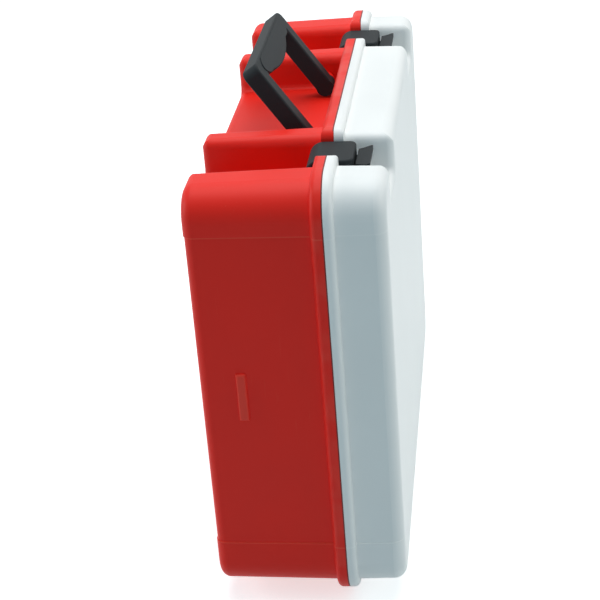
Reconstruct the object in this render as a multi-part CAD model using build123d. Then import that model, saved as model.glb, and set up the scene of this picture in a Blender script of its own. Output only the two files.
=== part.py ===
from build123d import *
import os
from math import radians, tan

# First aid box: a deep red base and a shallow white lid, hinged along the bottom edge.
# Two snap latches and a folding carrying handle sit in notches along the top edge.
# X runs along the width, Y from the lid's front to the base's back, Z up with the box upright.
# The origin is under the middle of the box, on the surface that it stands on.

# Case, seen from the front and measured over the flanges
CASE_WIDTH = 400.0
CASE_HEIGHT = 300.0
CORNER_R = 27.0
BASE_DEPTH = 88.0
LID_DEPTH = 38.0
SEAM_GAP = 0.3
SAME_POINT = 0.01
OVERCUT = 1.0
WALL = 2.5
DRAFT = 1.3
BACK_EDGE_R = 7.0
FRONT_EDGE_R = 9.0
NOTCH_EDGE_R = 5.0
SOFT_EASE = 0.04

# Flanges that meet at the seam
FLANGE_PROUD = 5.0
BASE_FLANGE = 8.0
LID_FLANGE = 6.2
FLANGE_EDGE_R = 3.6

# Notches for the latches, and the handle's recess in the base, with ridges of one width between them
RIDGE_WIDTH = 23.0
NOTCH_DEPTH = 25.0
RECESS_DEPTH = 25.0
BLOCK_R = 7.5
LID_BLOCK_R = 6.5
NOTCH_R = 3.0
FLANGE_NOTCH_R = 1.5

# Shallow panel in each end wall, which wraps round onto the back of the base
PANEL_STEP = 0.6
PANEL_WRAP = 50.0
PANEL_BOTTOM = 43.5
PANEL_TOP_DROP = 35.5

# Upright rib on each end wall of the base, a stop for a wall bracket
STOP_Y = 59.8
STOP_HEIGHT = 154.0
STOP_WIDTH = 6.4
STOP_LENGTH = 33.5
STOP_PROUD = 1.8
STOP_EDGE_R = 1.5

# Moulded feet near the back of the base
FOOT_INSET = 60.0
FOOT_WIDTH = 44.0
FOOT_DEPTH = 12.0
FOOT_Y = 68.0
FOOT_DRAFT = 4.0

# Seal: a groove in the lid's flange, a rubber ring in it, and a tongue on the base
GROOVE_INSET = 3.4
GROOVE_WIDTH = 2.6
GROOVE_DEPTH = 3.2
SEAL_CLEARANCE = 0.2
SEAL_HEIGHT = 1.9
TONGUE_WIDTH = 1.2
TONGUE_GAP = 0.25
RIM_R = 6.8

# Hinges
HINGE_INSET = 80.0
KNUCKLE_R = 4.0
HINGE_DROP = 1.5
HINGE_PIN_R = 1.5
BASE_KNUCKLE = 15.0
LID_KNUCKLE = 36.0
KNUCKLE_GAP = 0.5
KNUCKLE_CLEARANCE = 0.4
PIN_CLEARANCE = 0.05
PIN_RECESS = 0.6

# Latches, with heights measured down from the tops of the blocks
LATCH_CLEARANCE = 2.0
LATCH_TOP_DROP = 1.4
LATCH_PIVOT_Y = 11.5
LATCH_PIVOT_DROP = 12.0
LATCH_HEEL = 4.0
LATCH_HEEL_R = 9.0
LATCH_SKIRT_GAP = 2.5
LATCH_WALL = 2.5
LATCH_NOSE_Y = 15.2
LATCH_CORNER_R = 5.0
LATCH_EDGE_R = 1.2
LATCH_GROOVE = 8.0
LATCH_GROOVE_WIDTH = 1.4
LATCH_LIP_Y = 25.8
LATCH_LIP_ROOT = 4.2
LATCH_LIP_TIP = 2.9
LATCH_LIP_THICKNESS = 2.4
LATCH_LIP_R = 30.0
LATCH_LIP_FLARE = 5.0
LATCH_LIP_CORNER_R = 1.8
CATCH_GAP = 0.8
CATCH_LIFT = 1.0
CATCH_THICKNESS = 2.8
LATCH_PIN_R = 1.75
LATCH_BOSS_R = 4.2
LATCH_BOSS_GAP = 0.5
LATCH_PIN_SEAT = 4.0

# Carrying handle, modelled raised as it is shown
HANDLE_ANGLE = 55.0
HANDLE_PIVOT_Y = 20.8
HANDLE_PIVOT_RISE = 7.0
HANDLE_WIDTH = 133.0
HANDLE_REACH = 64.6
HANDLE_ARM = 13.5
HANDLE_THICKNESS = 12.2
HANDLE_CORNER_R = 6.0
HANDLE_END_R = 6.4
HANDLE_EDGE_R = 1.5
GRIP_END = 9.8
GRIP_MIDDLE = 20.0
GRIP_INNER_R = 3.0
GRIP_PAD_LENGTH = 108.0
GRIP_PAD_WIDTH = 23.6
GRIP_PAD_Y = 57.0
GRIP_PAD_EDGE = 1.4
GRIP_PAD_RISE = 0.5
HANDLE_PIN_R = 2.5
HANDLE_PIN_SEAT = 9.0
HANDLE_PIN_HOLD = 8.0
EAR_R = 4.6
EAR_GAP = 0.4
EAR_ROOM = 10.5
SEAT_CLEARANCE = 0.03

# Dividers in the base
DIVIDER_THICKNESS = 2.0
DIVIDER_CLEARANCE = 0.3
DIVIDER_FRONT = 6.0
SHELF_HEIGHT = 148.0
DIVIDER_CORNER = 4.0
GUIDE_THICKNESS = 1.6
GUIDE_PROUD = 4.0
GUIDE_ROOT = 0.8

# Clear window over the inside of the lid, with its turn knobs
WINDOW_Y = 13.0
WINDOW_THICKNESS = 1.8
WINDOW_MARGIN = 2.0
WINDOW_BLOCK_R = 3.0
WINDOW_NOTCH_R = 6.0
KNOB_INSET = 32.0
KNOB_EDGE = 26.0
KNOB_WING = 19.0
KNOB_WIDTH = 7.6
KNOB_HEIGHT = 4.2
KNOB_GAP = 0.3
KNOB_SLOT_CLEARANCE = 0.5
KNOB_FILLET = 0.8
BOSS_R = 7.0
SCREW_R = 1.5
SCREW_HEAD_R = 2.8
SCREW_HEAD = 1.6
SCREW_LENGTH = 12.0
SCREW_CLEARANCE = 0.05

# Places that follow from the sizes above
SLOPE = tan(radians(DRAFT))
HINGE_Z = KNUCKLE_R
BOTTOM_Z = HINGE_Z + HINGE_DROP
TOP_Z = BOTTOM_Z + CASE_HEIGHT
MID_Z = BOTTOM_Z + CASE_HEIGHT / 2
SEAM_Y = (LID_DEPTH + SEAM_GAP - BASE_DEPTH) / 2
LID_Y = SEAM_Y - SEAM_GAP
HINGE_Y = SEAM_Y - SEAM_GAP / 2
BLOCK_Z = TOP_Z - FLANGE_PROUD
NOTCH_Z = BLOCK_Z - NOTCH_DEPTH
FLANGE_NOTCH_Z = TOP_Z - NOTCH_DEPTH
RECESS_Z = BLOCK_Z - RECESS_DEPTH
INNER = FLANGE_PROUD + WALL
RECESS_WIDTH = HANDLE_WIDTH + 2 * EAR_ROOM
NOTCH_WIDTH = CASE_WIDTH / 2 - RECESS_WIDTH / 2 - 2 * RIDGE_WIDTH - CORNER_R
NOTCH_X = RECESS_WIDTH / 2 + RIDGE_WIDTH + NOTCH_WIDTH / 2
HINGE_X = CASE_WIDTH / 2 - HINGE_INSET
FOOT_X = CASE_WIDTH / 2 - FOOT_INSET
KNOB_X = CASE_WIDTH / 2 - KNOB_INSET
LATCH_WIDTH = NOTCH_WIDTH - 2 * (FLANGE_PROUD + LATCH_CLEARANCE)
HINGE_LENGTH = LID_KNUCKLE + 2 * (KNUCKLE_GAP + BASE_KNUCKLE)
BASE, LID = 1, -1


def across(y, side):
    """Plane across the case at y, with Z up in it and its normal away from the seam."""
    return Plane(origin=(0, y, MID_Z), x_dir=(-side, 0, 0), z_dir=(0, side, 0))


def slab(sketch, y, side, depth, taper=0):
    """A shape seen from the front, run away from the seam."""
    return extrude(across(y, side) * sketch, amount=depth, taper=taper)


def bar(radius, x0, x1, y, z):
    """A round bar along X."""
    return Pos((x0 + x1) / 2, y, z) * Rot(0, 90, 0) * Cylinder(radius, abs(x1 - x0))


def block(x0, x1, y0, y1, z0, z1):
    """A plain block between two corners."""
    middle = Pos((x0 + x1) / 2, (y0 + y1) / 2, (z0 + z1) / 2)
    return middle * Box(abs(x1 - x0), abs(y1 - y0), abs(z1 - z0))


def prism(plane, points, thickness):
    """A straight prism on a plane, from its corners, along the plane's normal."""
    return extrude(plane * Polygon(*points, align=None), amount=thickness, dir=plane.z_dir)


def far_edges(solid, side):
    """The edges of the face that lies furthest from the seam."""
    faces = solid.faces().sort_by(Axis.Y)
    return (faces[-1] if side == BASE else faces[0]).edges()


def at_points(shape, points):
    """The corners of a flat shape that lie on the given points."""
    return [v for v in shape.vertices() if any(abs(v.X - x) + abs(v.Y - y) < SAME_POINT for x, y in points)]


def latch_notches():
    """Place, half width and depth of the latch notches, as the flange has them."""
    half = NOTCH_WIDTH / 2 - FLANGE_PROUD
    return [(-NOTCH_X, half, NOTCH_DEPTH), (NOTCH_X, half, NOTCH_DEPTH)]


def base_notches():
    """The latch notches and the handle's recess."""
    return latch_notches() + [(0, RECESS_WIDTH / 2 - FLANGE_PROUD, RECESS_DEPTH)]


def outline(inset, block_r, notch_r, notches):
    """The case seen from the front, drawn in by inset from the edge of the flange."""
    width = CASE_WIDTH - 2 * inset
    height = CASE_HEIGHT - 2 * inset
    top = height / 2
    shape = RectangleRounded(width, height, CORNER_R - inset)
    ridges = []
    floors = []
    for x, half, depth in notches:
        reach = half + inset
        shape -= Pos(x, top) * Rectangle(2 * reach, 2 * depth)
        ridges += [(x - reach, top), (x + reach, top)]
        floors += [(x - reach, top - depth), (x + reach, top - depth)]
    shape = fillet(at_points(shape, ridges), block_r)
    return fillet(at_points(shape, floors), notch_r)


def soft_block(y, side, depth, inset, edge_r):
    """The case without its notches, a drafted block with softly rounded far edges."""
    plain = RectangleRounded(CASE_WIDTH - 2 * inset, CASE_HEIGHT - 2 * inset, CORNER_R - inset)
    form = slab(plain, y, side, depth, DRAFT)
    return fillet(far_edges(form, side), edge_r)


def drafted_form(y, side, depth, skin, notches):
    """One half of the case as a drafted block, with every wall let in by skin."""
    inset = FLANGE_PROUD + skin
    block_r, edge_r = (BLOCK_R, BACK_EDGE_R) if side == BASE else (LID_BLOCK_R, FRONT_EDGE_R)
    form = slab(outline(inset, block_r - skin, NOTCH_R + skin, notches), y, side, depth, DRAFT)
    form = fillet(far_edges(form, side), NOTCH_EDGE_R - skin)
    return form & soft_block(y, side, depth + SOFT_EASE, inset - SOFT_EASE, edge_r - skin)


def flange(y, side, thickness):
    """The rim at the seam, rounded on its far edge and notched for the latches."""
    rim = slab(RectangleRounded(CASE_WIDTH, CASE_HEIGHT, CORNER_R), y, side, thickness)
    rim = fillet(far_edges(rim, side), FLANGE_EDGE_R)
    return rim & slab(outline(0, RIM_R, FLANGE_NOTCH_R, latch_notches()), y, side, thickness)


def rim_ring(inset, width, y, side, depth):
    """A band that follows the rim, for the seal, its groove and the tongue."""
    outer = outline(inset, RIM_R - inset, FLANGE_NOTCH_R + inset, latch_notches())
    inset += width
    inner = outline(inset, RIM_R - inset, FLANGE_NOTCH_R + inset, latch_notches())
    return slab(outer - inner, y, side, depth)


def panelled(form, y, side, depth, notches):
    """A half of the case, let in by a small step between two heights at both of its ends."""
    low = BOTTOM_Z + PANEL_BOTTOM
    high = TOP_Z - PANEL_TOP_DROP
    edge = CASE_WIDTH / 2
    ends = both_sides(block(edge - PANEL_WRAP, edge, y, y + side * BASE_DEPTH, low, high))
    inner = drafted_form(y, side, depth, PANEL_STEP, notches)
    return (form - ends) + (inner & ends)


def both_sides(solid):
    """A solid and its mirror image across the middle of the width."""
    return solid + mirror(solid, Plane.YZ)


def knuckle_spans(side):
    """Where the base's or the lid's knuckles lie along one hinge."""
    half = LID_KNUCKLE / 2
    if side == LID:
        return [(HINGE_X - half, HINGE_X + half)]
    inner = half + KNUCKLE_GAP
    outer = inner + BASE_KNUCKLE
    return [(HINGE_X - outer, HINGE_X - inner), (HINGE_X + inner, HINGE_X + outer)]


def add_hinges(shell, side, face_y):
    """Knuckles on one half of the case, and room for the other half's."""
    for x0, x1 in knuckle_spans(-side):
        room = bar(KNUCKLE_R + KNUCKLE_CLEARANCE, x0 - KNUCKLE_GAP, x1 + KNUCKLE_GAP, HINGE_Y, HINGE_Z)
        shell -= both_sides(room)
    for x0, x1 in knuckle_spans(side):
        knuckle = bar(KNUCKLE_R, x0, x1, HINGE_Y, HINGE_Z)
        leg_end = HINGE_Y + side * KNUCKLE_R
        knuckle += block(x0, x1, face_y, leg_end, HINGE_Z, BOTTOM_Z + HINGE_DROP)
        knuckle -= bar(HINGE_PIN_R + PIN_CLEARANCE, x0, x1, HINGE_Y, HINGE_Z)
        shell += both_sides(knuckle)
    return shell


def inner_half_width(y):
    """Half the width inside the base, at a depth y behind the seam."""
    return CASE_WIDTH / 2 - INNER - y * SLOPE


def guide_ribs(plane, points):
    """A pair of ribs, one on each side of a divider whose middle lies on the plane."""
    gap = DIVIDER_THICKNESS / 2 + DIVIDER_CLEARANCE
    ribs = prism(plane.offset(gap), points, GUIDE_THICKNESS)
    return ribs + prism(plane.offset(-gap - GUIDE_THICKNESS), points, GUIDE_THICKNESS)


def shelf_guides():
    """Ribs on the end walls of the base that carry the shelf."""
    front = DIVIDER_FRONT
    back = BASE_DEPTH - WALL / 2
    points = [
        (inner_half_width(front) - GUIDE_PROUD, SEAM_Y + front),
        (inner_half_width(front) + WALL / 2, SEAM_Y + front),
        (inner_half_width(back) + WALL / 2, SEAM_Y + back),
        (inner_half_width(back) - GUIDE_PROUD, SEAM_Y + back),
    ]
    return both_sides(guide_ribs(Plane.XY.offset(BOTTOM_Z + SHELF_HEIGHT), points))


def ceiling(x):
    """Height of the inside over an upright divider: the handle's recess or a latch's notch."""
    return TOP_Z - INNER - (NOTCH_DEPTH if x else RECESS_DEPTH)


def upright_guides(x):
    """Ribs on the floor and under the notches of the base that hold an upright divider."""
    front = DIVIDER_FRONT
    back = BASE_DEPTH - WALL / 2
    ribs = None
    for wall_z, inward in ((BOTTOM_Z + INNER, 1), (ceiling(x), -1)):
        points = [
            (SEAM_Y + front, wall_z + inward * (front * SLOPE + GUIDE_PROUD)),
            (SEAM_Y + front, wall_z + inward * (front * SLOPE - WALL / 2)),
            (SEAM_Y + back, wall_z + inward * (back * SLOPE - WALL / 2)),
            (SEAM_Y + back, wall_z + inward * (back * SLOPE + GUIDE_PROUD)),
        ]
        pair = guide_ribs(Plane.YZ.offset(x), points)
        ribs = pair if ribs is None else ribs + pair
    return ribs


def divider_guides(notches):
    """Every rib that holds a divider, cut back to a short root in the walls that carry it."""
    ribs = shelf_guides()
    for x in (-NOTCH_X, 0, NOTCH_X):
        ribs += upright_guides(x)
    skin = WALL - GUIDE_ROOT
    return ribs & drafted_form(SEAM_Y, BASE, BASE_DEPTH - skin, skin, notches)


def handle_ears():
    """Ears at the ends of the handle's recess that hold its pins."""
    y = SEAM_Y + HANDLE_PIVOT_Y
    z = RECESS_Z + HANDLE_PIVOT_RISE
    near = HANDLE_WIDTH / 2 + EAR_GAP
    far = RECESS_WIDTH / 2 + WALL / 2
    ear = bar(EAR_R, near, far, y, z)
    ear += block(near, far, y - EAR_R, y + EAR_R, RECESS_Z - WALL / 2, z)
    return both_sides(ear)


def handle_pin_reach():
    """Where a handle pin starts in the arm and ends in its ear."""
    start = HANDLE_WIDTH / 2 - HANDLE_PIN_HOLD
    return start, HANDLE_WIDTH / 2 + EAR_GAP + HANDLE_PIN_SEAT


def latch_pivot():
    """Y and Z of the latch pins."""
    return SEAM_Y + LATCH_PIVOT_Y, BLOCK_Z - LATCH_PIVOT_DROP


def latch_pin_half():
    """Half the length of a latch pin, from the latch's middle to its seat in a block's wall."""
    return NOTCH_WIDTH / 2 + WALL + LATCH_PIN_SEAT


def latch_bosses(x):
    """Bosses on both walls of a latch notch that carry the latch pin."""
    y, z = latch_pivot()
    near = LATCH_WIDTH / 2 + LATCH_BOSS_GAP
    far = latch_pin_half() + WALL / 2
    return bar(LATCH_BOSS_R, x - far, x - near, y, z) + bar(LATCH_BOSS_R, x + near, x + far, y, z)


def feet():
    """Low moulded feet that level the box with its hinges."""
    foot = Pos(FOOT_X, SEAM_Y + FOOT_Y, 0) * Rectangle(FOOT_WIDTH, FOOT_DEPTH)
    rise = BOTTOM_Z + FLANGE_PROUD + FOOT_Y * SLOPE + WALL / 2
    return both_sides(extrude(foot, amount=rise, taper=-FOOT_DRAFT))


def bracket_stops():
    """A short upright rib on each end wall."""
    x = CASE_WIDTH / 2 - FLANGE_PROUD - PANEL_STEP - STOP_Y * SLOPE
    z = BOTTOM_Z + STOP_HEIGHT
    y = SEAM_Y + STOP_Y
    rib = block(x - WALL / 2, x + STOP_PROUD, y - STOP_WIDTH / 2, y + STOP_WIDTH / 2,
                z - STOP_LENGTH / 2, z + STOP_LENGTH / 2)
    return both_sides(fillet(rib.faces().sort_by(Axis.X)[-1].edges(), STOP_EDGE_R))


def base_shell():
    """The red half of the case."""
    notches = base_notches()
    shell = drafted_form(SEAM_Y, BASE, BASE_DEPTH, 0, notches)
    shell = panelled(shell, SEAM_Y, BASE, BASE_DEPTH - PANEL_STEP, notches)
    shell += flange(SEAM_Y, BASE, BASE_FLANGE)
    shell += handle_ears() + feet() + bracket_stops()
    cavity = drafted_form(SEAM_Y, BASE, BASE_DEPTH - WALL, WALL, notches)
    behind_rim = outline(INNER, BLOCK_R - WALL, NOTCH_R + WALL, latch_notches())
    cavity += slab(behind_rim, SEAM_Y, BASE, BASE_FLANGE - WALL)
    shell -= cavity
    tongue_inset = GROOVE_INSET + (GROOVE_WIDTH - TONGUE_WIDTH) / 2
    tongue_height = SEAM_GAP + GROOVE_DEPTH - SEAL_HEIGHT - TONGUE_GAP
    shell += rim_ring(tongue_inset, TONGUE_WIDTH, SEAM_Y, LID, tongue_height)
    shell += divider_guides(notches)
    y, z = latch_pivot()
    for x in (-NOTCH_X, NOTCH_X):
        shell += latch_bosses(x)
        shell -= bar(LATCH_PIN_R + SEAT_CLEARANCE, x - latch_pin_half(), x + latch_pin_half(), y, z)
    start, end = handle_pin_reach()
    shell -= both_sides(bar(HANDLE_PIN_R + SEAT_CLEARANCE, start, end,
                            SEAM_Y + HANDLE_PIVOT_Y, RECESS_Z + HANDLE_PIVOT_RISE))
    return add_hinges(shell, BASE, SEAM_Y)


def knob_places():
    """Name and place of each turn knob: X and Z."""
    low = BOTTOM_Z + INNER + KNOB_EDGE
    high = NOTCH_Z - WALL - KNOB_EDGE
    return {
        "lower_left": (-KNOB_X, low),
        "lower_right": (KNOB_X, low),
        "upper_left": (-KNOB_X, high),
        "upper_right": (KNOB_X, high),
    }


def outward(x, y, z, radius, length):
    """A round post that runs along Y from y."""
    return Pos(x, y + length / 2, z) * Rot(90, 0, 0) * Cylinder(radius, abs(length))


def lid_shell():
    """The white half of the case."""
    notches = latch_notches()
    shell = drafted_form(LID_Y, LID, LID_DEPTH, 0, notches)
    shell = panelled(shell, LID_Y, LID, LID_DEPTH, notches)
    shell += flange(LID_Y, LID, LID_FLANGE)
    shell -= drafted_form(LID_Y, LID, LID_DEPTH - WALL, WALL, notches)
    shell -= rim_ring(GROOVE_INSET, GROOVE_WIDTH, LID_Y, LID, GROOVE_DEPTH)
    boss_y = LID_Y - WINDOW_Y - WINDOW_THICKNESS
    boss_length = LID_DEPTH - WALL / 2 - WINDOW_Y - WINDOW_THICKNESS
    for x, z in knob_places().values():
        shell += outward(x, boss_y, z, BOSS_R, -boss_length)
        shell -= outward(x, boss_y, z, SCREW_R + SCREW_CLEARANCE, -SCREW_LENGTH)
    return add_hinges(shell, LID, LID_Y)


def lid_seal():
    """The rubber ring in the lid's groove."""
    inset = GROOVE_INSET + SEAL_CLEARANCE
    width = GROOVE_WIDTH - 2 * SEAL_CLEARANCE
    return rim_ring(inset, width, LID_Y - GROOVE_DEPTH + SEAL_HEIGHT, LID, SEAL_HEIGHT)


def hinge_pin():
    """One steel hinge pin, as long as its knuckles less a recess at each end."""
    half = HINGE_LENGTH / 2 - PIN_RECESS
    return bar(HINGE_PIN_R, HINGE_X - half, HINGE_X + half, HINGE_Y, HINGE_Z)


def latch_top():
    """Height of a latch's flat top."""
    return BLOCK_Z - LATCH_TOP_DROP


def latch_side():
    """Side view of a latch's body as (y, z), from the catch over the heel to the nose."""
    top = latch_top()
    heel = SEAM_Y + LATCH_PIVOT_Y + LATCH_HEEL
    skirt = FLANGE_NOTCH_Z + LATCH_SKIRT_GAP
    nose = SEAM_Y - LATCH_NOSE_Y
    catch = LID_Y - LID_FLANGE - CATCH_GAP
    catch_z = FLANGE_NOTCH_Z + CATCH_LIFT
    line = Polyline((catch, catch_z), (catch, skirt), (heel, skirt), (heel, top - LATCH_HEEL_R))
    line += RadiusArc((heel, top - LATCH_HEEL_R), (heel - LATCH_HEEL_R, top), -LATCH_HEEL_R)
    line += Polyline((heel - LATCH_HEEL_R, top), (nose, top), (nose, catch_z), (catch, catch_z))
    return make_face(Plane.YZ * line)


def latch_body():
    """A latch's body with rounded corners at its nose and soft edges round its top."""
    top = latch_top()
    body = extrude(latch_side(), amount=LATCH_WIDTH / 2, both=True)
    nose = SEAM_Y - LATCH_NOSE_Y
    corners = [e for e in body.edges().filter_by(Axis.Z) if e.center().Y < nose + SAME_POINT]
    body = fillet(corners, LATCH_CORNER_R)
    return fillet([e for e in body.edges() if e.center().Z > top - SAME_POINT], LATCH_EDGE_R)


def latch_lip():
    """The lifting lip in front of the nose, behind a narrow groove and wider at its tip."""
    half = LATCH_WIDTH / 2
    top = latch_top()
    nose = SEAM_Y - LATCH_NOSE_Y
    root = nose - LATCH_GROOVE_WIDTH
    tip = SEAM_Y - LATCH_LIP_Y
    groove = top - LATCH_GROOVE
    edge = top - LATCH_LIP_TIP
    inside = nose + LATCH_WALL
    under = groove - LATCH_LIP_THICKNESS
    line = Polyline((inside, under), (inside, groove), (root, groove), (root, top - LATCH_LIP_ROOT))
    line += RadiusArc((root, top - LATCH_LIP_ROOT), (tip, edge), LATCH_LIP_R)
    line += Line((tip, edge), (tip, edge - LATCH_LIP_THICKNESS))
    line += RadiusArc((tip, edge - LATCH_LIP_THICKNESS), (nose, under), -LATCH_LIP_R)
    line += Line((nose, under), (inside, under))
    narrow = half - LATCH_LIP_FLARE
    tips = [(-half, tip), (half, tip)]
    plan = Polygon((-narrow, inside), (-narrow, nose), *tips, (narrow, nose), (narrow, inside), align=None)
    plan = fillet(at_points(plan, tips), LATCH_LIP_CORNER_R)
    lip = extrude(make_face(Plane.YZ * line), amount=half, both=True)
    return lip & extrude(Plane.XY.offset(under) * plan, amount=LATCH_GROOVE)


def latch(x):
    """A snap latch: a hollow moulding with a round heel, a catch and a lifting lip."""
    pivot_y, pivot_z = latch_pivot()
    half = LATCH_WIDTH / 2
    body = latch_body() + latch_lip()
    inner = half - LATCH_WALL
    roof = latch_top() - LATCH_WALL
    skirt = FLANGE_NOTCH_Z + LATCH_SKIRT_GAP
    front = LID_Y - LID_FLANGE - CATCH_GAP
    rear = pivot_y - LATCH_PIN_R - LATCH_WALL
    body -= block(-inner, inner, front, rear, skirt - CATCH_THICKNESS, roof)
    nose = SEAM_Y - LATCH_NOSE_Y
    body -= block(-inner, inner, nose + LATCH_WALL, front - CATCH_THICKNESS, FLANGE_NOTCH_Z, roof)
    body -= bar(LATCH_PIN_R + PIN_CLEARANCE, -half, half, pivot_y, pivot_z)
    return Pos(x, 0, 0) * body


def latch_pin(x):
    """The steel pin that a latch turns on."""
    y, z = latch_pivot()
    half = latch_pin_half() - PIN_RECESS
    return bar(LATCH_PIN_R, x - half, x + half, y, z)


def grip_outline():
    """Front view of the handle: two arms and a grip whose inner edge swells in the middle."""
    half = HANDLE_WIDTH / 2
    inside = half - HANDLE_ARM
    shape = Pos(0, HANDLE_REACH / 2) * Rectangle(HANDLE_WIDTH, HANDLE_REACH)
    shape = fillet(at_points(shape, [(-half, HANDLE_REACH), (half, HANDLE_REACH)]), HANDLE_CORNER_R)
    end = HANDLE_REACH - GRIP_END
    middle = HANDLE_REACH - GRIP_MIDDLE
    below = -HANDLE_END_R
    gap = Polyline((-inside, end), (-inside, below), (inside, below), (inside, end))
    gap += ThreePointArc((inside, end), (0, middle), (-inside, end))
    window = make_face(gap)
    window = fillet(at_points(window, [(-inside, end), (inside, end)]), GRIP_INNER_R)
    return shape - window


def handle():
    """The folding handle, turned up to the angle that it is shown at."""
    bail = extrude(grip_outline(), amount=HANDLE_THICKNESS / 2, both=True)
    bail = fillet(bail.faces().filter_by(Axis.Z).edges(), HANDLE_EDGE_R)
    rise = HANDLE_THICKNESS / 2 + GRIP_PAD_RISE
    pad = Pos(0, GRIP_PAD_Y) * Ellipse(GRIP_PAD_LENGTH / 2, GRIP_PAD_WIDTH / 2)
    pad &= Pos(0, GRIP_PAD_Y) * Rectangle(GRIP_PAD_LENGTH, 2 * (HANDLE_REACH - GRIP_PAD_EDGE - GRIP_PAD_Y))
    bail += extrude(pad, amount=rise, both=True)
    half = HANDLE_WIDTH / 2
    for near, far in ((-half, HANDLE_ARM - half), (half - HANDLE_ARM, half)):
        bail += bar(HANDLE_END_R, near, far, 0, 0)
    start, end = handle_pin_reach()
    bail -= both_sides(bar(HANDLE_PIN_R + PIN_CLEARANCE, start, end, 0, 0))
    seat = Pos(0, SEAM_Y + HANDLE_PIVOT_Y, RECESS_Z + HANDLE_PIVOT_RISE)
    return seat * Rot(HANDLE_ANGLE, 0, 0) * bail


def handle_pin():
    """The right-hand steel pin between the handle's arm and its ear."""
    start, end = handle_pin_reach()
    return bar(HANDLE_PIN_R, start + PIN_RECESS, end - PIN_RECESS,
               SEAM_Y + HANDLE_PIVOT_Y, RECESS_Z + HANDLE_PIVOT_RISE)


def divider_depth():
    """Front and back of the dividers, measured from the seam."""
    return DIVIDER_FRONT, BASE_DEPTH - WALL - DIVIDER_CLEARANCE


def lap_slot(from_front):
    """Half of the crossed joint between the shelf and an upright, as (y0, y1) of its slot."""
    front, back = divider_depth()
    middle = (front + back) / 2
    ease = DIVIDER_CLEARANCE / 2
    if from_front:
        return SEAM_Y + front - OVERCUT, SEAM_Y + middle + ease
    return SEAM_Y + middle - ease, SEAM_Y + back + OVERCUT


def shelf_divider():
    """The level divider, slotted from the front where the uprights cross it."""
    front, back = divider_depth()
    half_front = inner_half_width(front) - DIVIDER_CLEARANCE
    half_back = inner_half_width(back) - DIVIDER_CLEARANCE
    points = [
        (-half_front, SEAM_Y + front),
        (half_front, SEAM_Y + front),
        (half_back, SEAM_Y + back),
        (-half_back, SEAM_Y + back),
    ]
    low = BOTTOM_Z + SHELF_HEIGHT - DIVIDER_THICKNESS / 2
    plate = chamfer(at_points(Polygon(*points, align=None), points[2:]), DIVIDER_CORNER)
    shelf = extrude(Plane.XY.offset(low) * plate, amount=DIVIDER_THICKNESS, dir=(0, 0, 1))
    gap = DIVIDER_THICKNESS / 2 + DIVIDER_CLEARANCE
    y0, y1 = lap_slot(True)
    for x in (-NOTCH_X, 0, NOTCH_X):
        shelf -= block(x - gap, x + gap, y0, y1, low, low + DIVIDER_THICKNESS)
    return shelf


def upright_divider(x):
    """An upright divider, slotted from the back where it crosses the shelf."""
    front, back = divider_depth()
    low = BOTTOM_Z + INNER + DIVIDER_CLEARANCE
    high = ceiling(x) - DIVIDER_CLEARANCE
    points = [
        (SEAM_Y + front, low + front * SLOPE),
        (SEAM_Y + back, low + back * SLOPE),
        (SEAM_Y + back, high - back * SLOPE),
        (SEAM_Y + front, high - front * SLOPE),
    ]
    plate = chamfer(at_points(Polygon(*points, align=None), points[1:3]), DIVIDER_CORNER)
    side = Plane.YZ.offset(x - DIVIDER_THICKNESS / 2)
    upright = extrude(side * plate, amount=DIVIDER_THICKNESS, dir=(1, 0, 0))
    gap = DIVIDER_THICKNESS / 2 + DIVIDER_CLEARANCE
    y0, y1 = lap_slot(False)
    level = BOTTOM_Z + SHELF_HEIGHT
    return upright - block(x - gap, x + gap, y0, y1, level - gap, level + gap)


def lid_window():
    """The clear plate over the lid's inside, notched like the lid and slotted for the knobs' wings."""
    plate = outline(INNER + WINDOW_MARGIN, WINDOW_BLOCK_R, WINDOW_NOTCH_R, latch_notches())
    slot_height = KNOB_WING + 2 * KNOB_SLOT_CLEARANCE
    slot_width = KNOB_WIDTH + 2 * KNOB_SLOT_CLEARANCE
    for x, z in knob_places().values():
        plate -= Pos(-LID * x, z - MID_Z) * Rot(0, 0, 90) * SlotOverall(slot_height, slot_width)
    return slab(plate, LID_Y - WINDOW_Y, LID, WINDOW_THICKNESS)


def window_knob(x, z):
    """A turn knob: a wing across the slot, on a round stem that reaches the boss."""
    wing_y = LID_Y - WINDOW_Y + KNOB_GAP
    wing = Pos(-BASE * x, z - MID_Z) * SlotOverall(KNOB_WING, KNOB_WIDTH)
    knob = slab(wing, wing_y, BASE, KNOB_HEIGHT)
    knob = fillet(far_edges(knob, BASE), KNOB_FILLET)
    boss_y = LID_Y - WINDOW_Y - WINDOW_THICKNESS
    knob += outward(x, boss_y + KNOB_GAP, z, KNOB_WIDTH / 2, wing_y - boss_y)
    top = wing_y + KNOB_HEIGHT
    knob -= outward(x, top, z, SCREW_HEAD_R + KNOB_GAP, -SCREW_HEAD - KNOB_GAP)
    return knob - outward(x, boss_y, z, SCREW_R + SCREW_CLEARANCE, top - boss_y)


def knob_screw(x, z):
    """The screw that a knob turns on."""
    top = LID_Y - WINDOW_Y + KNOB_GAP + KNOB_HEIGHT
    boss_y = LID_Y - WINDOW_Y - WINDOW_THICKNESS
    head = outward(x, top - KNOB_GAP, z, SCREW_HEAD_R, -SCREW_HEAD)
    shank_end = boss_y - SCREW_LENGTH + PIN_RECESS
    return head + outward(x, top - KNOB_GAP, z, SCREW_R, shank_end - top + KNOB_GAP)


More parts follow.
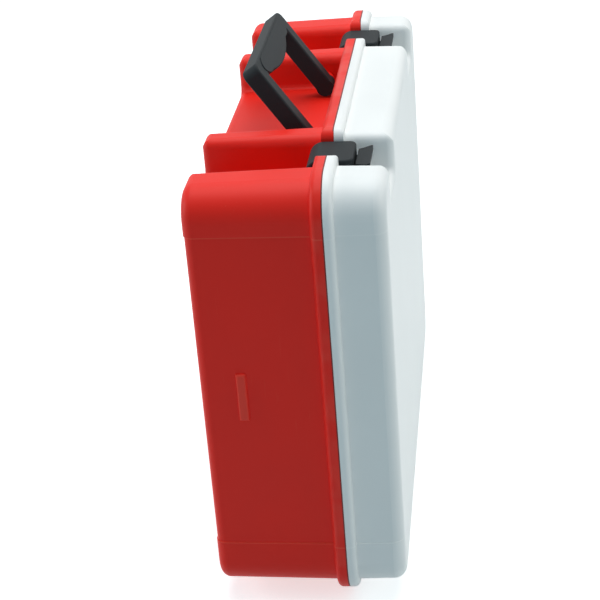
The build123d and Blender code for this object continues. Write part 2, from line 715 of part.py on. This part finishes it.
def parts():
    """Every sub-part by name."""
    made = {
        "base_shell": base_shell(),
        "lid_shell": lid_shell(),
        "lid_seal": lid_seal(),
        "hinge_pin_right": hinge_pin(),
        "hinge_pin_left": mirror(hinge_pin(), Plane.YZ),
        "handle": handle(),
        "handle_pin_right": handle_pin(),
        "handle_pin_left": mirror(handle_pin(), Plane.YZ),
        "latch_left": latch(-NOTCH_X),
        "latch_right": latch(NOTCH_X),
        "latch_pin_left": latch_pin(-NOTCH_X),
        "latch_pin_right": latch_pin(NOTCH_X),
        "shelf_divider": shelf_divider(),
        "upright_divider_left": upright_divider(-NOTCH_X),
        "upright_divider_middle": upright_divider(0),
        "upright_divider_right": upright_divider(NOTCH_X),
        "lid_window": lid_window(),
    }
    screws = []
    for name, (x, z) in knob_places().items():
        made["window_knob_" + name] = window_knob(x, z)
        screws.append(knob_screw(x, z))
    made["knob_screws"] = Compound(children=screws)
    return made


os.makedirs("parts", exist_ok=True)
for node, shape in parts().items():
    export_step(shape, "parts/" + node + ".step")
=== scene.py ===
"""Looks of the first aid box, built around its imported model.

Everything is in metres and in the model's frame: X runs along the width, Y from the lid's front to the
base's back, and Z up towards the handle.
"""

from __future__ import annotations

import logging
import math
from dataclasses import dataclass
from enum import Enum
from typing import Any, Sequence, Union

import bpy
import numpy as np
from mathutils import Matrix, Vector


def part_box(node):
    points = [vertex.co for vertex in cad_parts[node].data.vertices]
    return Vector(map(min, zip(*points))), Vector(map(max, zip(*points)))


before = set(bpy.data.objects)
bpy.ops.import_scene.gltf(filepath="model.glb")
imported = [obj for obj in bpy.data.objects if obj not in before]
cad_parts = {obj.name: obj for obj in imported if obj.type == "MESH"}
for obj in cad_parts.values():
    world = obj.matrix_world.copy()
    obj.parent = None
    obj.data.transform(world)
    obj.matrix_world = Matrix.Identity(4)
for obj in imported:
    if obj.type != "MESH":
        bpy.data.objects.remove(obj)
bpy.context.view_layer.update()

LOG = logging.getLogger("first_aid_box")
MM = 0.001
Colour = tuple[float, float, float]
Triple = tuple[float, float, float]
Span = tuple[float, float]
Value = Union[float, "Signal"]

# A Mix node that mixes colours takes them in these two inputs and gives their mix in this output.
MIX_FIRST = 6
MIX_SECOND = 7
MIX_RESULT = 2

# The value that soft noise varies about.
NOISE_MEAN = 0.5


class Side(Enum):
    """Which end of the width a piece of a pair lies at."""

    LEFT = "left"
    RIGHT = "right"


class Height(Enum):
    """Which end of the height a window knob lies at."""

    LOWER = "lower"
    UPPER = "upper"


class Pin(Enum):
    """What a steel pin of a pair holds."""

    HINGE = "hinge_pin"
    HANDLE = "handle_pin"
    LATCH = "latch_pin"


class Divider(Enum):
    """The sheets that divide the base."""

    SHELF = "shelf_divider"
    LEFT = "upright_divider_left"
    MIDDLE = "upright_divider_middle"
    RIGHT = "upright_divider_right"


class Signal:
    """A value inside a material, with the operators that sums on it are written in."""

    def __init__(self, recipe: Recipe, socket: bpy.types.NodeSocket) -> None:
        """Keeps the output socket that carries the value.

        Args:
            recipe: The material's recipe, which makes any further nodes.
            socket: The output socket.
        """
        self.recipe = recipe
        self.socket = socket

    def _sum(self, operation: str, first: Value, second: Value = 0.0, clamp: bool = False) -> Signal:
        """One Math node on two values."""
        settings = {"operation": operation, "use_clamp": clamp}
        return self.recipe.signal("ShaderNodeMath", settings, {0: first, 1: second})

    def __add__(self, other: Value) -> Signal:
        """This value and another, added."""
        return self._sum("ADD", self, other)

    def __sub__(self, other: Value) -> Signal:
        """Another value taken from this one."""
        return self._sum("SUBTRACT", self, other)

    def __rsub__(self, other: Value) -> Signal:
        """This value taken from another."""
        return self._sum("SUBTRACT", other, self)

    def __mul__(self, other: Value) -> Signal:
        """This value times another."""
        return self._sum("MULTIPLY", self, other)

    def __pow__(self, other: Value) -> Signal:
        """This value to a power."""
        return self._sum("POWER", self, other)

    def __abs__(self) -> Signal:
        """This value without its sign."""
        return self._sum("ABSOLUTE", self)

    __radd__ = __add__
    __rmul__ = __mul__

    def above(self, floor: Value) -> Signal:
        """The larger of this value and another."""
        return self._sum("MAXIMUM", self, floor)

    def below(self, ceiling: Value) -> Signal:
        """The smaller of this value and another."""
        return self._sum("MINIMUM", self, ceiling)

    def root(self) -> Signal:
        """The square root of this value."""
        return self._sum("SQRT", self)

    def rise(self, start: float, end: float) -> Signal:
        """A ramp from 0 where this value is start to 1 where it is end, held at both sides.

        With r the straight ramp, it is r * r * (3 - 2 r), which leaves and arrives level.

        Args:
            start: The value that gives 0.
            end: The value that gives 1, which may be the lower of the two.

        Returns:
            The ramp, smoothed.
        """
        ramp = self._sum("DIVIDE", self - start, end - start, clamp=True)
        return ramp * ramp * (3.0 - 2.0 * ramp)


class Recipe:
    """Makes the nodes of one material or of the world."""

    def __init__(self, tree: bpy.types.NodeTree, material: bpy.types.Material | None = None) -> None:
        """Starts on an emptied node tree.

        Args:
            tree: The node tree of a material or of the world.
            material: The material that the tree belongs to.
        """
        self.tree = tree
        self.material = material
        self.tree.nodes.clear()

    @classmethod
    def named(cls, name: str) -> Recipe:
        """Starts a new material.

        Args:
            name: The material's name.

        Returns:
            A recipe for it, with no nodes yet.
        """
        material = bpy.data.materials.new(name)
        material.use_nodes = True
        return cls(material.node_tree, material)

    def node(self, kind: str, settings: dict[str, Any], values: dict[Any, Any]) -> bpy.types.Node:
        """Adds a node.

        Args:
            kind: The node's type.
            settings: Its own settings, set first.
            values: What goes into its inputs, by name or number: a number, a colour or a signal.

        Returns:
            The new node.
        """
        made = self.tree.nodes.new(kind)
        for key, value in settings.items():
            setattr(made, key, value)
        for key, value in values.items():
            if isinstance(value, Signal):
                self.tree.links.new(value.socket, made.inputs[key])
            else:
                made.inputs[key].default_value = value
        return made

    def signal(self, kind: str, settings: dict[str, Any], values: dict[Any, Any],
               output: Union[int, str] = 0) -> Signal:
        """Adds a node and gives one of its outputs.

        Args:
            kind: The node's type.
            settings: Its own settings.
            values: What goes into its inputs.
            output: Name or number of the output that is wanted.

        Returns:
            That output as a signal.
        """
        return Signal(self, self.node(kind, settings, values).outputs[output])

    def place(self) -> Signal:
        """The point on the surface, in the model's frame."""
        return self.signal("ShaderNodeTexCoord", {}, {}, "Object")

    def axes(self) -> tuple[Signal, Signal, Signal]:
        """X, Y and Z of the point on the surface, each as a signal."""
        x, y, z = self.node("ShaderNodeSeparateXYZ", {}, {0: self.place()}).outputs
        return Signal(self, x), Signal(self, y), Signal(self, z)

    def seen(self) -> Signal:
        """Which rays show the surface rather than only carry its light.

        Returns:
            1 for the rays of the camera, gloss and glass, and 0 for the rest.
        """
        rays = self.node("ShaderNodeLightPath", {}, {}).outputs
        kinds = ("Is Camera Ray", "Is Glossy Ray", "Is Transmission Ray")
        camera, gloss, glass = (Signal(self, rays[kind]) for kind in kinds)
        return camera.above(gloss).above(glass)

    def noise(self, size: float, detail: float = 2.0, stretch: Triple = (1.0, 1.0, 1.0),
              shift: float = 0.0) -> Signal:
        """Soft noise from 0 to 1.

        Args:
            size: Size of its blotches, in metres.
            detail: How many finer layers it has.
            stretch: How much finer it is along each axis.
            shift: Moves the pattern, so that two finishes differ.

        Returns:
            The noise.
        """
        values = {"Vector": self.place(), "Location": (shift, shift, shift), "Scale": stretch}
        moved = self.signal("ShaderNodeMapping", {}, values)
        return self.signal("ShaderNodeTexNoise", {}, {"Vector": moved, "Scale": 1.0 / size, "Detail": detail})

    def blend(self, share: Value, first: Union[Colour, Signal], second: Union[Colour, Signal]) -> Signal:
        """A mix of two colours.

        Args:
            share: 0 gives the first colour and 1 the second.
            first: The first colour.
            second: The second colour.

        Returns:
            The mixed colour.
        """
        pair = [c if isinstance(c, Signal) else (*c, 1.0) for c in (first, second)]
        values = {0: share, MIX_FIRST: pair[0], MIX_SECOND: pair[1]}
        return self.signal("ShaderNodeMix", {"data_type": "RGBA"}, values, MIX_RESULT)

    def bump(self, height: Signal, depth: float, under: Signal | None = None) -> Signal:
        """A bumped normal.

        Args:
            height: The height, from 0 to 1.
            depth: What a height of 1 stands for, in metres.
            under: A bumped normal that this one goes on.

        Returns:
            The normal.
        """
        values = {"Height": height, "Distance": depth, "Strength": 1.0}
        if under is not None:
            values["Normal"] = under
        return self.signal("ShaderNodeBump", {}, values)

    def glow(self, colour: Colour, strength: float = 1.0) -> Signal:
        """A shader that gives off light.

        Args:
            colour: The light's colour.
            strength: Its strength, where 1 shows the colour as written.

        Returns:
            The shader.
        """
        return self.signal("ShaderNodeEmission", {}, {"Color": (*colour, 1.0), "Strength": strength})

    def matte(self, colour: Colour) -> Signal:
        """A shader of plain matte paint."""
        return self.signal("ShaderNodeBsdfDiffuse", {}, {"Color": (*colour, 1.0)})

    def surface(self, **values: Any) -> bpy.types.Material:
        """Closes the recipe with one Principled shader.

        Args:
            **values: Its inputs, with underscores for the spaces in their names.

        Returns:
            The finished material.
        """
        named = {key.replace("_", " "): value for key, value in values.items()}
        shader = self.signal("ShaderNodeBsdfPrincipled", {}, named)
        self.node("ShaderNodeOutputMaterial", {}, {"Surface": shader})
        return self.material


def rim_distance(recipe: Recipe, half_width: float, half_height: float, middle: float,
                 corner: float) -> Signal:
    """How far a point lies outside a rounded rectangle seen from the front, negative inside.

    With a = |x| - (half width - corner) and b = |z - middle| - (half height - corner), the distance is the
    length of (max(a, 0), max(b, 0)) plus min(max(a, b), 0), less the corner's radius.

    Args:
        recipe: The material's recipe.
        half_width: Half the rectangle's width.
        half_height: Half its height.
        middle: Z of its middle.
        corner: Radius of its corners.

    Returns:
        The distance in metres.
    """
    x, _, z = recipe.axes()
    a = abs(x) - (half_width - corner)
    b = abs(z - middle) - (half_height - corner)
    outside = (a.above(0.0) ** 2.0 + b.above(0.0) ** 2.0).root()
    return outside + a.above(b).below(0.0) - corner


@dataclass(frozen=True)
class CaseShape:
    """Sizes of the case that its finishes follow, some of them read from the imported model."""

    half_width: float
    bottom: float
    top: float
    seam: float
    corner: float = 27 * MM
    # Widths over which the painted gap shadow and dust along the seam fade out.
    seam_shadow_dust_span: Span = (1.0 * MM, 0.4 * MM)
    panel_end: float = 150 * MM
    panel_bottom: float = 43.5 * MM
    panel_drop: float = 35.5 * MM
    panel_fade: float = 2 * MM
    # Widths over which the painted highlight lines along the panel edges fade out.
    panel_highlight_span: Span = (0.75 * MM, 0.25 * MM)
    stop_face: float = 193.3 * MM
    stop_back: float = 31 * MM
    stop_height: float = 154 * MM
    stop_half: float = 16.8 * MM
    stop_end_fade: float = 1 * MM
    stop_back_fade: float = 2 * MM
    stop_face_fade: float = 0.8 * MM

    def seam_shadow_dust_line(self, recipe: Recipe) -> Signal:
        """The rim's edge along the seam, where painted gap shadow and dust lie, from 0 to 1."""
        _, y, _ = recipe.axes()
        return abs(y - self.seam).rise(*self.seam_shadow_dust_span)

    def stop_rib_highlight(self, recipe: Recipe) -> Signal:
        """Painted highlight that makes the short bracket-stop ribs on the end walls lighter than the wall.

        It is the product of three ramps, which end at the rib's ends, at its back and at its root.

        Args:
            recipe: The material's recipe.

        Returns:
            The painted highlight, from 0 to 1.
        """
        x, y, z = recipe.axes()
        off = abs(z - (self.bottom + self.stop_height))
        ends = off.rise(self.stop_half + self.stop_end_fade, self.stop_half)
        back = y.rise(self.stop_back - self.stop_back_fade, self.stop_back)
        return ends * back * abs(x).rise(self.stop_face, self.stop_face + self.stop_face_fade)

    def panel_edge_highlights(self, recipe: Recipe) -> Signal:
        """Painted highlight lines along the upper and lower edges of the panels in the end walls.

        With h the height over the panel's middle, a line fades as | |h| - half the panel's height | grows.

        Args:
            recipe: The material's recipe.

        Returns:
            The highlight lines, from 0 to 1.
        """
        x, _, z = recipe.axes()
        low = self.bottom + self.panel_bottom
        high = self.top - self.panel_drop
        off = abs(abs(z - (low + high) / 2) - (high - low) / 2)
        return off.rise(*self.panel_highlight_span) * abs(x).rise(self.panel_end, self.panel_end + self.panel_fade)

    @property
    def middle(self) -> float:
        """Z of the case's middle."""
        return (self.bottom + self.top) / 2

    @property
    def half_height(self) -> float:
        """Half the case's height over its flanges."""
        return (self.top - self.bottom) / 2

    @classmethod
    def of_model(cls) -> CaseShape:
        """Reads the case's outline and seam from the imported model.

        The seal's box is inset from the outline by the same distance all round, and the hinge pins lie on the
        seam.

        Returns:
            The case's sizes.
        """
        _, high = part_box("base_shell")
        pin_low, pin_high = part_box("hinge_pin_left")
        seal_low, seal_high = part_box("lid_seal")
        inset = high.x - seal_high.x
        return cls(high.x, seal_low.z - inset, seal_high.z + inset, (pin_low.y + pin_high.y) / 2)


@dataclass(frozen=True)
class MouldedPlastic:
    """Injection-moulded plastic with a fine spark-eroded grain.

    A share says how far a mark's colour goes over the plastic's, and a rise gives the two noise values
    between which a mark comes in.
    """

    name: str
    colour: Colour
    # Lighter colour of real wear and scratches, also used for painted highlights on panel edges and
    # bracket-stop ribs.
    wear_and_highlight: Colour
    roughness: float
    specular: float = 0.5
    seed: float = 0.0
    flow: float = 0.05
    flow_size: float = 60 * MM
    flow_rise: Span = (0.3, 0.7)
    flow_roughness: float = 0.08
    grain: float = 0.5 * MM
    grain_depth: float = 0.012 * MM
    grain_roughness: float = 0.06
    wave_size: float = 14 * MM
    wave_depth: float = 4 * 0.012 * MM
    scratch_size: float = 1.2 * MM
    scratch_stretch: Triple = (1.0, 1.0, 0.04)
    scratch_rise: Span = (0.66, 0.74)
    scratch_patches: Span = (0.45, 0.65)
    scratch_share: float = 0.12
    rim_width: float = 1.6 * MM
    rim_rise: Span = (0.35, 0.7)
    rim_share: float = 0.10
    rim_polish: float = 0.1
    # Share of the painted highlight along the panel edges.
    panel_highlight_share: float = 0.0
    # Share of the painted highlight on the bracket-stop ribs.
    stop_highlight_share: float = 0.0
    # Dark colour of painted gap shadow mixed with dust, which darkens the red rim along the seam.
    dust: Colour = (0.08, 0.012, 0.012)
    seam_shadow_dust_share: float = 0.0
    seam_shadow_dust_rim: Span = (-2 * MM, -1 * MM)

    def material(self, case: CaseShape | None = None) -> bpy.types.Material:
        """Builds the material.

        Args:
            case: Sizes of the case, for rim wear, painted highlights on panels and stop ribs, and painted
                seam shadow and dust.

        Returns:
            The material.
        """
        recipe = Recipe.named(self.name)
        cloud = recipe.noise(self.flow_size, detail=3.0, shift=self.seed)
        fine = recipe.noise(self.grain, shift=self.seed)
        waves = recipe.noise(self.wave_size, detail=1.0, shift=self.seed)
        scratch = recipe.noise(self.scratch_size, stretch=self.scratch_stretch, shift=self.seed)
        lines = scratch.rise(*self.scratch_rise) * cloud.rise(*self.scratch_patches)
        darker = tuple(c * (1 - self.flow) for c in self.colour)
        colour = recipe.blend(cloud.rise(*self.flow_rise), darker, self.colour)
        colour = recipe.blend(lines * self.scratch_share, colour, self.wear_and_highlight)
        roughness = self.roughness + (cloud - NOISE_MEAN) * self.flow_roughness
        roughness = roughness + (fine - NOISE_MEAN) * self.grain_roughness
        if case is not None:
            edge = rim_distance(recipe, case.half_width, case.half_height, case.middle, case.corner)
            worn = edge.rise(-self.rim_width, 0.0) * waves.rise(*self.rim_rise)
            colour = recipe.blend(worn * self.rim_share, colour, self.wear_and_highlight)
            # Painted highlight lines along the panel edges, lighter than the wall.
            colour = recipe.blend(case.panel_edge_highlights(recipe) * self.panel_highlight_share, colour, self.wear_and_highlight)
            # Painted highlight on the bracket-stop ribs.
            colour = recipe.blend(case.stop_rib_highlight(recipe) * self.stop_highlight_share, colour, self.wear_and_highlight)
            # Painted gap shadow and dust along the seam, on the outer band of the rim.
            seam_shadow_dust_mask = case.seam_shadow_dust_line(recipe) * edge.rise(*self.seam_shadow_dust_rim)
            colour = recipe.blend(seam_shadow_dust_mask * self.seam_shadow_dust_share, colour, self.dust)
            roughness = roughness - worn * self.rim_polish
        normal = recipe.bump(fine, self.grain_depth, recipe.bump(waves, self.wave_depth))
        return recipe.surface(Base_Color=colour, Roughness=roughness, Normal=normal,
                              Specular_IOR_Level=self.specular)


@dataclass(frozen=True)
class DrawnSteel:
    """Bright drawn wire with lines along its length."""

    name: str = "drawn_steel"
    colour: Colour = (0.58, 0.58, 0.57)
    stained: Colour = (0.40, 0.39, 0.37)
    stain_size: float = 9 * MM
    stain_rise: Span = (0.5, 0.8)
    line_size: float = 0.4 * MM
    line_stretch: Triple = (0.02, 1.0, 1.0)
    line_depth: float = 0.01 * MM
    line_roughness: float = 0.2
    roughness: float = 0.28

    def material(self) -> bpy.types.Material:
        """Builds the material.

        Returns:
            The material.
        """
        recipe = Recipe.named(self.name)
        lines = recipe.noise(self.line_size, stretch=self.line_stretch)
        cloud = recipe.noise(self.stain_size)
        colour = recipe.blend(cloud.rise(*self.stain_rise), self.colour, self.stained)
        roughness = self.roughness + (lines - NOISE_MEAN) * self.line_roughness
        return recipe.surface(Base_Color=colour, Roughness=roughness, Metallic=1.0,
                              Normal=recipe.bump(lines, self.line_depth))


@dataclass(frozen=True)
class ClearSheet:
    """Clear polycarbonate sheet with a trace of haze and hairlines from use."""

    name: str = "clear_sheet"
    colour: Colour = (0.93, 0.96, 0.96)
    hazy: Colour = (0.84, 0.88, 0.89)
    refraction: float = 1.58
    roughness: float = 0.05
    alpha: float = 0.24
    hair_size: float = 0.7 * MM
    hair_stretch: Triple = (1.0, 1.0, 0.03)
    hair_rise: Span = (0.68, 0.76)
    hair_roughness: float = 0.2
    hair_alpha: float = 0.12
    haze_size: float = 45 * MM
    haze_rise: Span = (0.4, 0.8)
    haze_share: float = 0.4
    haze_roughness: float = 0.05
    haze_alpha: float = 0.05

    def material(self) -> bpy.types.Material:
        """Builds the material.

        Returns:
            The material.
        """
        recipe = Recipe.named(self.name)
        hair = recipe.noise(self.hair_size, stretch=self.hair_stretch).rise(*self.hair_rise)
        haze = recipe.noise(self.haze_size, detail=3.0).rise(*self.haze_rise)
        colour = recipe.blend(haze * self.haze_share, self.colour, self.hazy)
        roughness = self.roughness + haze * self.haze_roughness + hair * self.hair_roughness
        alpha = self.alpha + hair * self.hair_alpha + haze * self.haze_alpha
        return recipe.surface(Base_Color=colour, Roughness=roughness, Alpha=alpha, IOR=self.refraction)


@dataclass(frozen=True)
class SoftRubber:
    """Extruded rubber with talc left on it."""

    name: str = "seal_rubber"
    colour: Colour = (0.022, 0.022, 0.023)
    roughness: float = 0.68
    talc: Colour = (0.16, 0.16, 0.155)
    talc_size: float = 2.5 * MM
    talc_rise: Span = (0.5, 0.75)
    talc_share: float = 0.35
    talc_roughness: float = 0.15
    talc_depth: float = 0.02 * MM

    def material(self) -> bpy.types.Material:
        """Builds the material.

        Returns:
            The material.
        """
        recipe = Recipe.named(self.name)
        dust = recipe.noise(self.talc_size, detail=4.0).rise(*self.talc_rise)
        colour = recipe.blend(dust * self.talc_share, self.colour, self.talc)
        return recipe.surface(Base_Color=colour, Roughness=self.roughness + dust * self.talc_roughness,
                              Normal=recipe.bump(dust, self.talc_depth))


@dataclass(frozen=True)
class DividerSheet:
    """Extruded sheet with die lines along its length."""

    name: str = "divider_sheet"
    colour: Colour = (0.52, 0.53, 0.53)
    cloud_size: float = 40 * MM
    cloud_rise: Span = (0.3, 0.7)
    cloud_shade: float = 0.93
    die_size: float = 1.1 * MM
    die_stretch: Triple = (0.02, 1.0, 0.02)
    die_depth: float = 0.01 * MM
    die_roughness: float = 0.12
    roughness: float = 0.42

    def material(self) -> bpy.types.Material:
        """Builds the material.

        Returns:
            The material.
        """
        recipe = Recipe.named(self.name)
        die = recipe.noise(self.die_size, stretch=self.die_stretch)
        cloud = recipe.noise(self.cloud_size, detail=3.0)
        darker = tuple(c * self.cloud_shade for c in self.colour)
        colour = recipe.blend(cloud.rise(*self.cloud_rise), self.colour, darker)
        roughness = self.roughness + (die - NOISE_MEAN) * self.die_roughness
        return recipe.surface(Base_Color=colour, Roughness=roughness, Normal=recipe.bump(die, self.die_depth))


def dress(node: str, material: bpy.types.Material) -> None:
    """Gives a node of the model its finish.

    Args:
        node: The node's name.
        material: The finish.
    """
    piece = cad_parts[node]
    piece.data.materials.clear()
    piece.data.materials.append(material)
    LOG.info("%s: %s, %d faces", node, material.name, len(piece.data.polygons))


def add_object(name: str, data: bpy.types.ID) -> bpy.types.Object:
    """Puts a new object into the scene.

    Args:
        name: The object's name.
        data: Its mesh, lamp or camera.

    Returns:
        The object.
    """
    made = bpy.data.objects.new(name, data)
    bpy.context.scene.collection.objects.link(made)
    return made


@dataclass
class Shells:
    """The red base and the white lid, with the seal between them."""

    # The red takes painted highlights on its panel edges and bracket-stop ribs, and painted gap shadow with
    # dust at the seam.
    red: MouldedPlastic = MouldedPlastic(
        "red_abs", (0.84, 0.014, 0.005), (0.86, 0.14, 0.09), 0.50,
        specular=0.28, panel_highlight_share=0.3, stop_highlight_share=0.25, seam_shadow_dust_share=0.8)
    # The white takes painted highlights on its panel edges.
    white: MouldedPlastic = MouldedPlastic(
        "white_abs", (0.88, 0.89, 0.885), (0.94, 0.94, 0.93), 0.44,
        specular=0.4, seed=0.3, flow=0.02, panel_highlight_share=0.5)
    rubber: SoftRubber = SoftRubber()

    def build(self) -> None:
        """Dresses both halves and the seal."""
        case = CaseShape.of_model()
        dress("base_shell", self.red.material(case))
        dress("lid_shell", self.white.material(case))
        dress("lid_seal", self.rubber.material())


@dataclass
class Fittings:
    """The handle, the latches, the steel pins and the screws."""

    dark: MouldedPlastic = MouldedPlastic(
        "dark_grey_polyamide", (0.025, 0.030, 0.033), (0.12, 0.13, 0.13), 0.55,
        specular=0.09, seed=0.7, flow=0.12, grain=0.35 * MM)
    steel: DrawnSteel = DrawnSteel()

    def build(self) -> None:
        """Dresses the handle, both latches, every pin and the knobs' screws."""
        plastic = self.dark.material()
        dress("handle", plastic)
        wire = self.steel.material()
        for side in Side:
            dress(f"latch_{side.value}", plastic)
            for pin in Pin:
                dress(f"{pin.value}_{side.value}", wire)
        dress("knob_screws", wire)


@dataclass
class Inside:
    """The dividers, the clear window and its knobs."""

    sheet: DividerSheet = DividerSheet()
    clear: ClearSheet = ClearSheet()
    knob: MouldedPlastic = MouldedPlastic(
        "red_knob_abs", (0.62, 0.028, 0.020), (0.80, 0.16, 0.12), 0.34, seed=0.5)

    def build(self) -> None:
        """Dresses everything inside the case."""
        grey = self.sheet.material()
        for divider in Divider:
            dress(divider.value, grey)
        dress("lid_window", self.clear.material())
        red = self.knob.material()
        for height in Height:
            for side in Side:
                dress(f"window_knob_{height.value}_{side.value}", red)


@dataclass
class Camera:
    """The photograph's camera, solved from the case's own edges."""

    place_mm: Triple = (-1107.9, -133.85, 662.4)
    yaw: float = 7.9
    pitch: float = 25.23
    roll: float = -4.65
    focal_pixels: float = 1654.1
    image_pixels: float = 600.0
    sensor_mm: float = 36.0
    nearest: float = 0.05

    def build(self) -> None:
        """Makes the camera.

        It looks along (cos yaw cos pitch, sin yaw cos pitch, -sin pitch), and its right and up are turned
        about that line by the roll.
        """
        yaw, pitch, roll = (math.radians(a) for a in (self.yaw, self.pitch, self.roll))
        ahead = Vector((math.cos(yaw) * math.cos(pitch), math.sin(yaw) * math.cos(pitch), -math.sin(pitch)))
        level = ahead.cross(Vector((0, 0, 1))).normalized()
        upright = level.cross(ahead)
        right = level * math.cos(roll) + upright * math.sin(roll)
        up = upright * math.cos(roll) - level * math.sin(roll)
        data = bpy.data.cameras.new("camera")
        data.sensor_width = self.sensor_mm
        data.lens = self.focal_pixels / self.image_pixels * self.sensor_mm
        data.clip_start = self.nearest
        camera = add_object("camera", data)
        turned = Matrix((right, up, -ahead)).transposed().to_4x4()
        camera.matrix_world = Matrix.Translation(Vector(self.place_mm) * MM) @ turned
        bpy.context.scene.camera = camera


@dataclass
class Softbox:
    """One rectangular lamp: where it hangs, what it is aimed at, its two sides, its watts and its colour."""

    name: str
    place: Triple
    aim: Triple
    size: Span
    power: float
    colour: Colour = (1.0, 1.0, 1.0)

    def build(self) -> None:
        """Hangs the lamp and turns it to its aim."""
        data = bpy.data.lights.new(self.name, "AREA")
        data.shape = "RECTANGLE"
        data.size, data.size_y = self.size
        data.energy = self.power
        data.color = self.colour
        lamp = add_object(self.name, data)
        lamp.location = self.place
        line = Vector(self.aim) - Vector(self.place)
        lamp.rotation_euler = line.to_track_quat("-Z", "Y").to_euler()


@dataclass
class Studio:
    """White floor and backdrop, with soft light from above, from the lid's side and from behind."""

    white: Colour = (1.0, 1.0, 1.0)
    floor_size: float = 12.0
    floor_steps: int = 24
    floor_paint: Colour = (0.85, 0.85, 0.85)
    floor_lift: float = 0.62
    floor_bounce: Colour = (0.30, 0.35, 0.36)
    floor_glow: Colour = (0.19, 0.22, 0.23)
    shade: Colour = (0.60, 0.87, 1.0)
    shade_strength: float = 0.35
    lamps: Sequence[Softbox] = (
        Softbox("top_light", (0.25, -0.1, 1.9), (0.0, 0.0, 0.2), (1.6, 1.6), 25.0, (1.0, 0.97, 0.94)),
        Softbox("front_light", (-0.2, -2.1, 0.8), (0.0, 0.0, 0.15), (1.4, 1.4), 10.0, (1.0, 0.90, 0.80)),
        Softbox("back_light", (-0.2, 2.1, 0.9), (0.0, 0.0, 0.15), (0.8, 1.2), 14.0),
    )

    def floor(self) -> bpy.types.Object:
        """Makes the floor, a flat grid at z = 0.

        Its points are every pair of two equal rows of steps, and each face joins a point to its next, the one
        behind that, and the one behind itself.

        Returns:
            The floor.
        """
        line = np.linspace(-self.floor_size / 2, self.floor_size / 2, self.floor_steps + 1)
        x, y = np.meshgrid(line, line)
        points = np.stack((x.ravel(), y.ravel(), np.zeros(x.size)), axis=1)
        step = np.arange(self.floor_steps)
        row = self.floor_steps + 1
        first = (step[:, None] * row + step[None, :]).ravel()
        faces = np.stack((first, first + 1, first + row + 1, first + row), axis=1)
        mesh = bpy.data.meshes.new("floor")
        mesh.from_pydata(points.tolist(), [], faces.tolist())
        return add_object("floor", mesh)

    def floor_finish(self) -> bpy.types.Material:
        """Matte white that the camera, gloss and glass see as white, apart from the object's shadow.

        Returns:
            The material.
        """
        recipe = Recipe.named("white_floor")
        lit = recipe.signal("ShaderNodeAddShader", {}, {0: recipe.matte(self.floor_bounce),
                                                        1: recipe.glow(self.floor_glow)})
        bright = recipe.signal("ShaderNodeAddShader", {}, {0: recipe.matte(self.floor_paint),
                                                           1: recipe.glow(self.white, self.floor_lift)})
        mixed = recipe.signal("ShaderNodeMixShader", {}, {0: recipe.seen(), 1: lit, 2: bright})
        recipe.node("ShaderNodeOutputMaterial", {}, {"Surface": mixed})
        return recipe.material

    def world(self) -> None:
        """Sets a white backdrop for the camera, gloss and glass, and a cooler, dimmer one for light."""
        world = bpy.data.worlds.new("studio")
        world.use_nodes = True
        bpy.context.scene.world = world
        recipe = Recipe(world.node_tree)
        kind = "ShaderNodeBackground"
        light = recipe.signal(kind, {}, {"Color": (*self.shade, 1.0), "Strength": self.shade_strength})
        backdrop = recipe.signal(kind, {}, {"Color": (*self.white, 1.0)})
        mixed = recipe.signal("ShaderNodeMixShader", {}, {0: recipe.seen(), 1: light, 2: backdrop})
        recipe.node("ShaderNodeOutputWorld", {}, {"Surface": mixed})

    def build(self) -> None:
        """Makes the floor, the backdrop and the lamps."""
        floor = self.floor()
        floor.data.materials.append(self.floor_finish())
        self.world()
        for lamp in self.lamps:
            lamp.build()
        bpy.context.scene.view_settings.view_transform = "Standard"


def main() -> None:
    """Builds the camera, the studio and every finish."""
    logging.basicConfig(level=logging.INFO, format="%(message)s")
    for assembly in (Camera(), Studio(), Shells(), Fittings(), Inside()):
        assembly.build()


if __name__ == "__main__":
    main()
